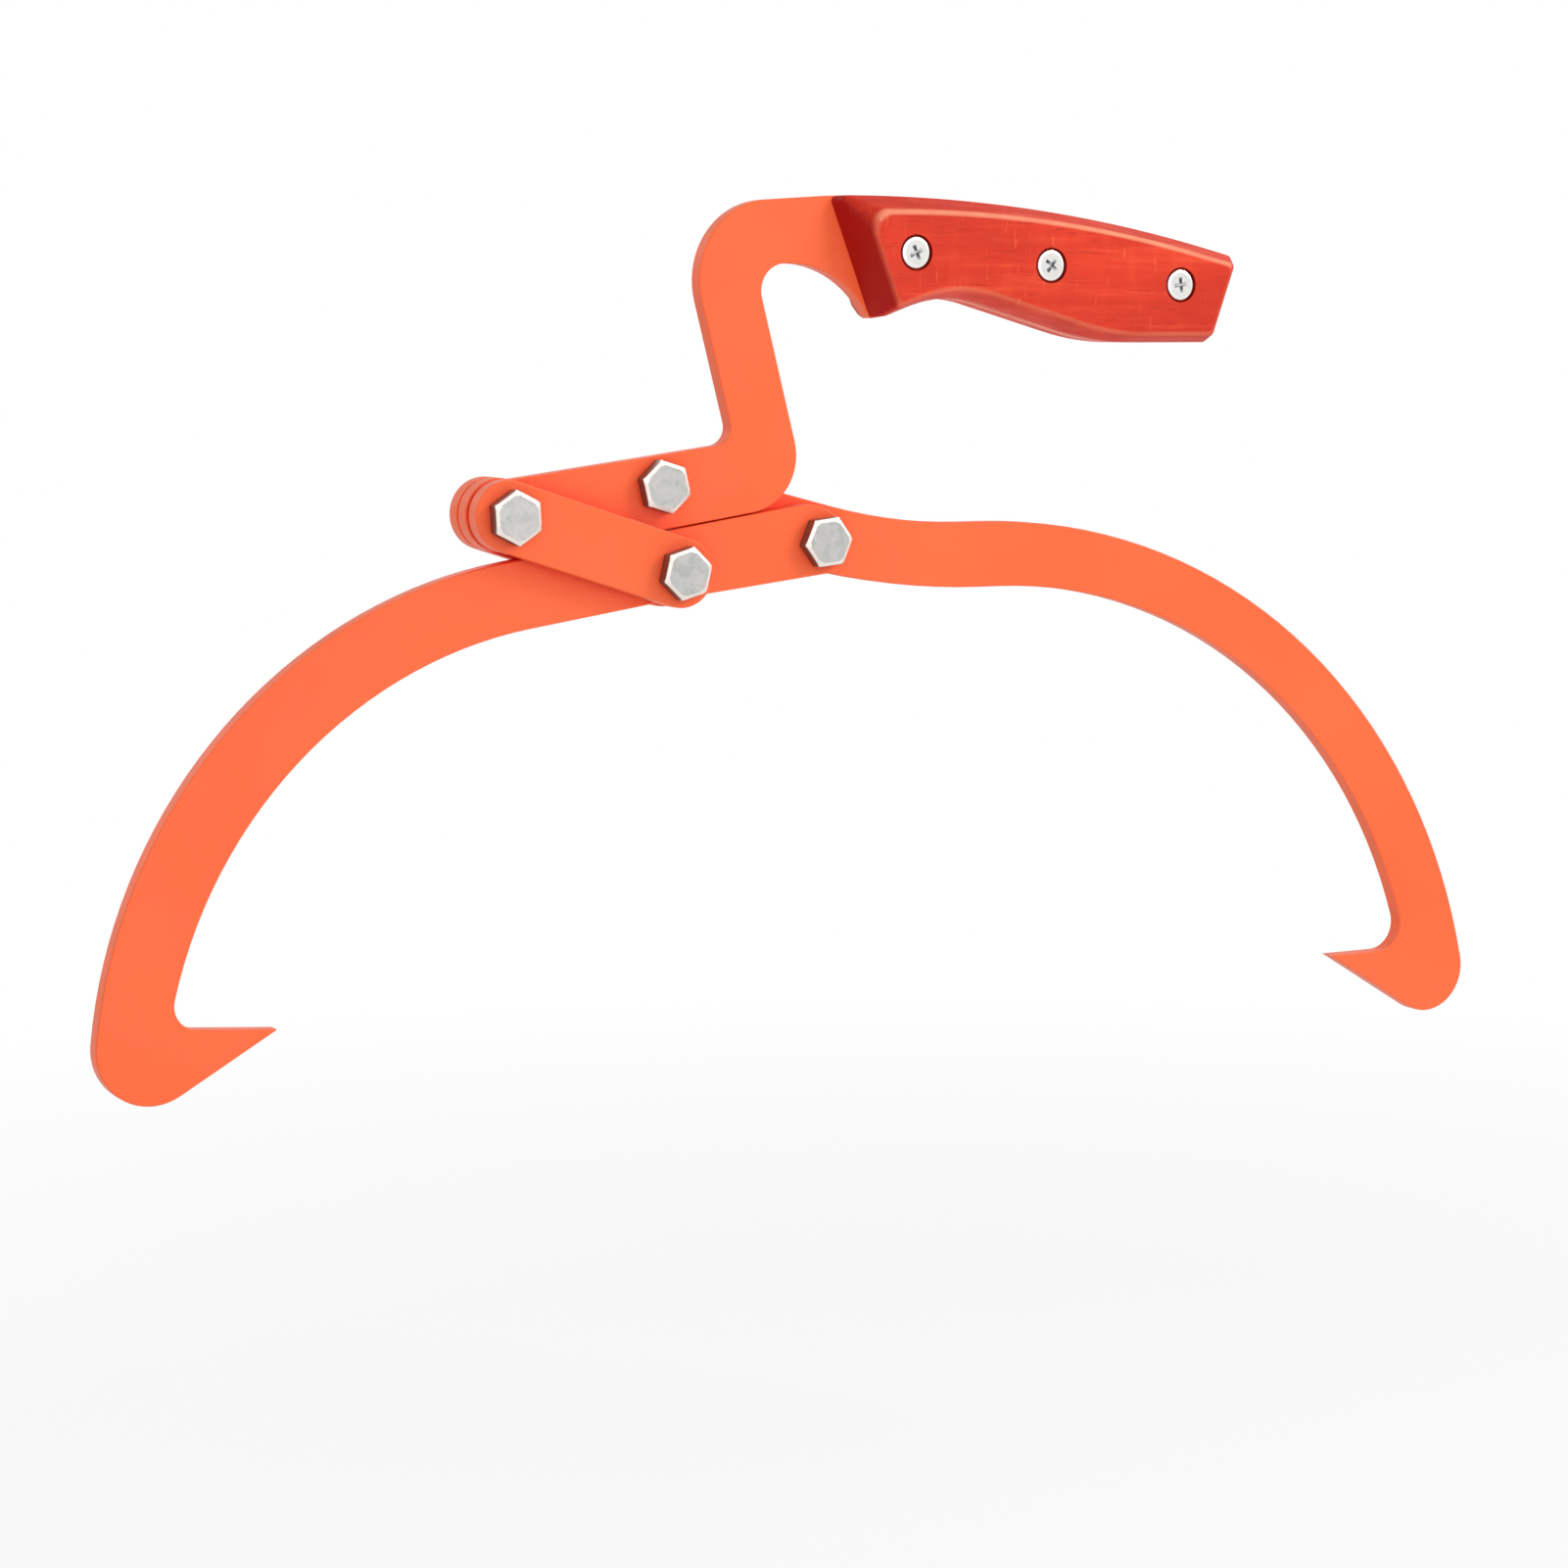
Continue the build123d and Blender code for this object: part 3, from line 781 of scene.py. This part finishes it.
boltTree = makeBoltTree(boltSizes, boltShape)
for pivot, spec in pivots.items():
    low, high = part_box(pivot + "_bolt")
    seat = low.y + boltSizes["Head Height"]
    sizes = {**boltSizes, "Shank Length": high.y - seat}
    points = [standOn(pivot + "_nut_ring", seat, spec["turn"])]
    piece = growOnPoints(pieceName(pivot, "Bolt"), boltTree, points, sizes, zinc,
                         boltShape["smoothAngle"], boltShape["easing"])
    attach(piece, spec["body"])
    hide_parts(pivot + "_bolt")
print("bolts grown:", len(pivots))


# lock nuts: chamfered hexagon with a round collar that holds the nylon ring
nutSizes = {
    "Across Flats": 13.0 * mm,
    "Nut Height": 6.5 * mm,
    "Hexagon Height": 5.0 * mm,
    "Bore Radius": 4.05 * mm,
    "Ring Radius": 5.13 * mm,
    "Ring Depth": 1.4 * mm,
    "Collar Radius": 5.93 * mm,
}
nutShape = {
    "chamfer": 0.47,  # of the width across flats
    "collarRound": 0.3,  # of the collar's height, as the wall is
    "wall": 1.4,
    "crownSides": 64,
    "boreReach": 3.0,  # in nut heights, right through
    "seatReach": 2.0,  # in ring depths, half of it above the nut
    "smoothAngle": 24,
    "easing": (0.12 * mm, 2, 45),  # width, segments and angle
}


def makeNutTree(sizes, look):
    tree, entry, leave = startTree("lockNut", sizes)
    out = entry.outputs
    hexHeight = out["Hexagon Height"]
    halfHex = half(tree, hexHeight)
    prism = rod(tree, hexRadius(tree, out["Across Flats"]), hexHeight, halfHex, hexSides)
    chamferRadius = times(tree, out["Across Flats"], look["chamfer"])
    flare = mathNode(tree, "MULTIPLY_ADD", hexHeight, chamferSlope, chamferRadius)
    upper = cone(tree, chamferRadius, flare, hexHeight)
    lower = cone(tree, flare, chamferRadius, hexHeight)
    hexagon = boolean(tree, "INTERSECT", prism, upper, lower)
    collarHeight = mathNode(tree, "SUBTRACT", out["Nut Height"], hexHeight)
    rounding = times(tree, collarHeight, look["collarRound"])
    wallTop = mathNode(tree, "SUBTRACT", out["Nut Height"], rounding)
    wallHeight = times(tree, collarHeight, look["wall"])
    wallMiddle = mathNode(tree, "SUBTRACT", wallTop, half(tree, wallHeight))
    wall = rod(tree, out["Collar Radius"], wallHeight, wallMiddle)
    crownRadius = mathNode(tree, "SUBTRACT", out["Collar Radius"], rounding)
    crown = cone(tree, crownRadius, out["Collar Radius"], rounding, wallTop, look["crownSides"])
    body = boolean(tree, "UNION", hexagon, wall, crown)
    bore = rod(tree, out["Bore Radius"], times(tree, out["Nut Height"], look["boreReach"]), halfHex)
    seatDepth = times(tree, out["Ring Depth"], look["seatReach"])
    seat = rod(tree, out["Ring Radius"], seatDepth, out["Nut Height"])
    nut = boolean(tree, "DIFFERENCE", body, bore, seat)
    endTree(tree, entry, leave, nut, facing=-1.0)
    return tree


nutTree = makeNutTree(nutSizes, nutShape)
for pivot, spec in pivots.items():
    low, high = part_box(pivot + "_nut")
    points = [standOn(pivot + "_nut_ring", low.y, spec["turn"])]
    piece = growOnPoints(pieceName(pivot, "Nut"), nutTree, points, nutSizes, zinc,
                         nutShape["smoothAngle"], nutShape["easing"])
    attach(piece, spec["body"])
    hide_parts(pivot + "_nut")
print("lock nuts grown:", len(pivots))


# grip screws: low domed heads with a tapered cross, and slotted barrel heads behind
screwSizes = {
    "Head Radius": 4.5 * mm,
    "Head Height": 2.0 * mm,
    "Shank Radius": 2.0 * mm,
    "Shank Length": 14.0 * mm,
    "Cross Span": 4.4 * mm,
    "Cross Depth": 1.2 * mm,
}
crossShape = {
    "wide": 0.775,  # in cross spans, as the tip is
    "tip": 0.225,
    "wing": 0.24,
    "reach": 2.0,  # in cross depths, half of it above the head
}
postSizes = {
    "Head Radius": 4.5 * mm,
    "Head Height": 2.0 * mm,
    "Barrel Radius": 3.0 * mm,
    "Barrel Length": 22.5 * mm,
    "Bore Radius": 2.05 * mm,
    "Slot Width": 1.2 * mm,
    "Slot Depth": 0.8 * mm,
}
postShape = {
    "slotLength": 3.0,  # in head radii
    "slotReach": 2.0,  # in slot depths, half of it above the head
    "boreDepth": 0.75,  # in barrel lengths, as its middle is
    "boreMiddle": -0.7,
}
domeShape = {
    "rimHeight": 0.62,  # heights in shares of the head's height, radii of its radius
    "shoulderHeight": 0.22,
    "shoulderRadius": 0.93,
    "crownFoot": 0.84,
    "crownHeight": 0.16,
    "crownRadius": 0.76,
    "sides": 64,
}
gripScrew = {
    "turns": (24.0, 52.0, 8.0),
    "postTurn": 2.3,  # times the turn of its screw
    "sides": 32,
    "smoothAngle": 28,
}


def domedHead(tree, radius, height, look):
    # a straight rim and two cone rings stacked into a rounded button
    rimHeight = times(tree, height, look["rimHeight"])
    rim = rod(tree, radius, rimHeight, half(tree, rimHeight), look["sides"])
    shoulderHeight = times(tree, height, look["shoulderHeight"])
    shoulderRadius = times(tree, radius, look["shoulderRadius"])
    shoulder = cone(tree, shoulderRadius, radius, shoulderHeight, rimHeight, look["sides"])
    crownHeight = times(tree, height, look["crownHeight"])
    crownRadius = times(tree, radius, look["crownRadius"])
    crownFoot = times(tree, height, look["crownFoot"])
    crown = cone(tree, crownRadius, shoulderRadius, crownHeight, crownFoot, look["sides"])
    return boolean(tree, "UNION", rim, shoulder, crown)


def makeScrewTree(sizes, look):
    tree, entry, leave = startTree("gripScrew", sizes)
    out = entry.outputs
    head = domedHead(tree, out["Head Radius"], out["Head Height"], domeShape)
    # a square taper, squeezed to a wing, once each way
    wideReach = times(tree, out["Cross Span"], look["wide"] * math.sqrt(2.0))
    tipReach = times(tree, out["Cross Span"], look["tip"] * math.sqrt(2.0))
    depth = times(tree, out["Cross Depth"], look["reach"])
    wingFoot = mathNode(tree, "SUBTRACT", out["Head Height"], out["Cross Depth"])
    taper = cone(tree, wideReach, tipReach, depth, wingFoot, sides=4)
    wing = moved(tree, taper, turn=(0.0, 0.0, math.pi / 4))
    flat = moved(tree, wing, stretch=(1.0, look["wing"], 1.0))
    upright = moved(tree, wing, stretch=(look["wing"], 1.0, 1.0))
    head = boolean(tree, "DIFFERENCE", head, flat, upright)
    middle = times(tree, out["Shank Length"], -0.5)
    shank = rod(tree, out["Shank Radius"], out["Shank Length"], middle, gripScrew["sides"])
    endTree(tree, entry, leave, joined(tree, head, shank))
    return tree


def makePostTree(sizes, look):
    tree, entry, leave = startTree("gripPost", sizes)
    out = entry.outputs
    head = domedHead(tree, out["Head Radius"], out["Head Height"], domeShape)
    slotLength = times(tree, out["Head Radius"], look["slotLength"])
    slotHeight = times(tree, out["Slot Depth"], look["slotReach"])
    slotSize = vectorOf(tree, slotLength, out["Slot Width"], slotHeight)
    slot = addNode(tree, "GeometryNodeMeshCube", {"Size": slotSize})
    slot = moved(tree, slot.outputs["Mesh"], vectorOf(tree, z=out["Head Height"]))
    head = boolean(tree, "DIFFERENCE", head, slot)
    length = out["Barrel Length"]
    barrel = rod(tree, out["Barrel Radius"], length, times(tree, length, -0.5), gripScrew["sides"])
    boreDepth = times(tree, length, look["boreDepth"])
    boreMiddle = times(tree, length, look["boreMiddle"])
    bore = rod(tree, out["Bore Radius"], boreDepth, boreMiddle, gripScrew["sides"])
    tube = boolean(tree, "DIFFERENCE", barrel, bore)
    endTree(tree, entry, leave, joined(tree, head, tube), facing=-1.0)
    return tree


screwPoints = []
postPoints = []
for number, turn in zip(gripNumbers, gripScrew["turns"]):
    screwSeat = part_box(f"grip_screw_{number}")[0].y + screwSizes["Head Height"]
    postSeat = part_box(f"grip_post_{number}")[1].y - postSizes["Head Height"]
    screwPoints.append(standOn(f"grip_screw_{number}", screwSeat, turn))
    postPoints.append(standOn(f"grip_screw_{number}", postSeat, turn * gripScrew["postTurn"]))

postLow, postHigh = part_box("grip_post_1")
postSizes["Barrel Length"] = postHigh.y - postLow.y - postSizes["Head Height"]
screwTree = makeScrewTree(screwSizes, crossShape)
postTree = makePostTree(postSizes, postShape)
gripScrews = growOnPoints("gripScrews", screwTree, screwPoints, screwSizes, nickel, gripScrew["smoothAngle"])
gripPosts = growOnPoints("gripPosts", postTree, postPoints, postSizes, nickel, gripScrew["smoothAngle"])
for piece, stem in ((gripScrews, "grip_screw"), (gripPosts, "grip_post")):
    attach(piece, "handle")
    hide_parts(*[f"{stem}_{number}" for number in gripNumbers])
print("grip screws and posts grown")


# spacers and nylon rings keep their CAD shape and take a finish
cadFinishes = {"_spacer": zinc, "_nut_ring": nylon}
for node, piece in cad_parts.items():
    for ending, finish in cadFinishes.items():
        if node.endswith(ending):
            piece.data.materials.clear()
            piece.data.materials.append(finish)
print("spacers and rings finished")


# pale floor and white surround; the tongs are held above the floor, clear of the swinging jaws
studio = {
    "floorSize": 12.0,
    "floorGap": 2.0 * mm,
    "floorColour": (0.90, 0.90, 0.90),
    "floorRoughness": 0.9,
    "floorSpecular": 0.1,
    "clearRadius": (0.36, 0.95),
    "clearShare": (0.60, 1.0),
    "worldLight": 0.545,
    "white": (1.0, 1.0, 1.0),
}


def seenByCamera(tree):
    # 1 for what the camera sees, also as a reflection or through something clear
    rays = addNode(tree, "ShaderNodeLightPath").outputs
    seen = mathNode(tree, "MAXIMUM", rays["Is Camera Ray"], rays["Is Glossy Ray"])
    return mathNode(tree, "MAXIMUM", seen, rays["Is Transmission Ray"])


def makeFloorPaint(look, floorZ):
    # keeps the shadow under the tongs and fades to white further out
    material, tree, shader = startMaterial("paleFloor")
    feed(tree, shader, {
        "Base Color": opaque(look["floorColour"]),
        "Roughness": look["floorRoughness"],
        "Specular IOR Level": look["floorSpecular"],
    })
    ends = {0: objectPlace(tree), 1: (0, 0, floorZ)}
    distance = addNode(tree, "ShaderNodeVectorMath", ends, operation="DISTANCE")
    near, far = look["clearRadius"]
    nearShare, farShare = look["clearShare"]
    fade = addNode(tree, "ShaderNodeMapRange", {
        "Value": distance.outputs["Value"],
        "From Min": near,
        "From Max": far,
        "To Min": nearShare,
        "To Max": farShare,
    })
    white = addNode(tree, "ShaderNodeEmission", {"Color": opaque(look["white"]), "Strength": 1.0})
    blend = addNode(tree, "ShaderNodeMixShader", {
        0: times(tree, seenByCamera(tree), fade.outputs["Result"]),
        1: shader.outputs["BSDF"],
        2: white.outputs["Emission"],
    })
    feed(tree, tree.nodes["Material Output"], {"Surface": blend.outputs["Shader"]})
    return material


mainPivot = axisOf("handle_jaw_nut_ring")
swing = max(fromAxis(vert.co, mainPivot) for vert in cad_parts["right_jaw"].data.vertices)
floorZ = mainPivot.z - swing - studio["floorGap"]
reach = studio["floorSize"] / 2
corners = [(x * reach, y * reach, floorZ) for x, y in ((-1, -1), (1, -1), (1, 1), (-1, 1))]
floorMesh = bpy.data.meshes.new("floor")
floorMesh.from_pydata(corners, [], [(0, 1, 2, 3)])
floorMesh.materials.append(makeFloorPaint(studio, floorZ))
floor = addObject("floor", floorMesh)

world = bpy.data.worlds.new("studioWorld")
world.use_nodes = True
scene.world = world
tree = world.node_tree
inputs = {"Value": seenByCamera(tree), "To Min": studio["worldLight"], "To Max": 1.0}
level = addNode(tree, "ShaderNodeMapRange", inputs)
feed(tree, tree.nodes["Background"], {"Color": opaque(studio["white"]), "Strength": level.outputs["Result"]})

lamps = {
    "keyLamp": {"place": (1.05, -0.90, 0.75), "size": 0.7, "power": 12.0},
    "fillLamp": {"place": (-0.20, -1.60, 0.30), "size": 1.2, "power": 6.0},
    "rimLamp": {"place": (-1.10, 0.80, 0.70), "size": 0.9, "power": 7.5},
}
cameraSpec = {
    "place": (-0.56494, -0.91639, -0.01576),
    "target": (-0.08172, -0.0076, -0.14214),
    "focal": 3840 / 1601,  # in widths of the frame
    "sensor": 36.0,
}


def aimed(name, data, place, target):
    # looks from its place towards the target
    item = addObject(name, data)
    item.location = place
    item.rotation_euler = (target - item.location).to_track_quat("-Z", "Y").to_euler()
    return item


for name, spec in lamps.items():
    light = bpy.data.lights.new(name, "AREA")
    light.shape = "SQUARE"
    light.size = spec["size"]
    light.energy = spec["power"]
    aimed(name, light, spec["place"], (cadLow + cadHigh) / 2)

cameraData = bpy.data.cameras.new("photoCamera")
cameraData.sensor_width = cameraSpec["sensor"]
cameraData.lens = cameraSpec["sensor"] * cameraSpec["focal"]
scene.camera = aimed("photoCamera", cameraData, cameraSpec["place"], Vector(cameraSpec["target"]))
scene.view_settings.view_transform = "Standard"
print("studio, lamps and camera set")
